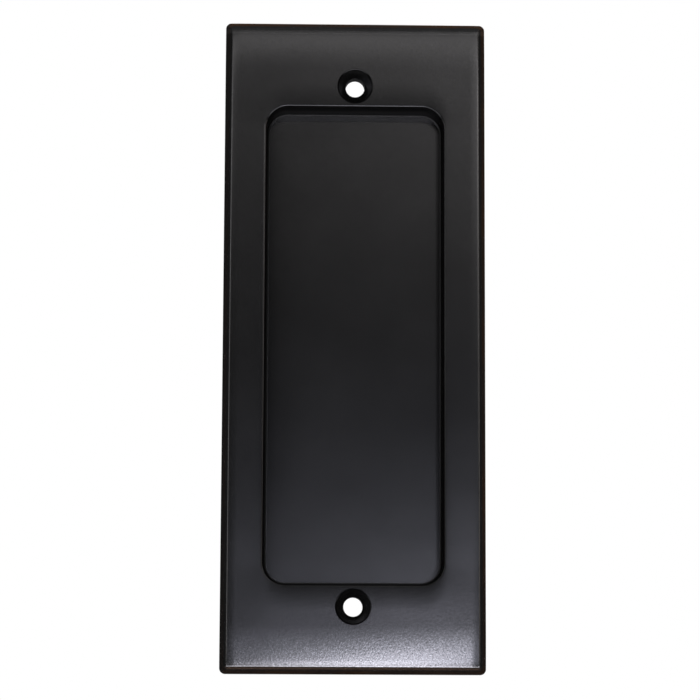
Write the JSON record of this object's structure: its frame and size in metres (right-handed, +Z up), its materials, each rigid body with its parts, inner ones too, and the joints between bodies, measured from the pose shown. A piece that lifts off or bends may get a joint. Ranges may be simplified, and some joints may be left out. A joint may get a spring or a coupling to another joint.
{
  "type": "pocket door pull",
  "caption": "Rectangular flush pull for a pocket door: a flat bevelled flange round a deep finger recess, with countersunk screw holes above and below it.",
  "frame": {"origin": "middle of the flange's back, the face that lies on the door, which is also the middle of the two screw holes", "axes": "+Z up along the pull's length, +Y into the door, so the front faces -Y, and +X to the right as seen from the front"},
  "size_m": [0.0508, 0.0075, 0.127],
  "materials": {
    "dark_bronze": "dark oil-rubbed bronze, satin, with thinly rubbed warm edges"
  },
  "bodies": {
    "root": {"flush_pull": "dark_bronze"}
  },
  "joints": []
}
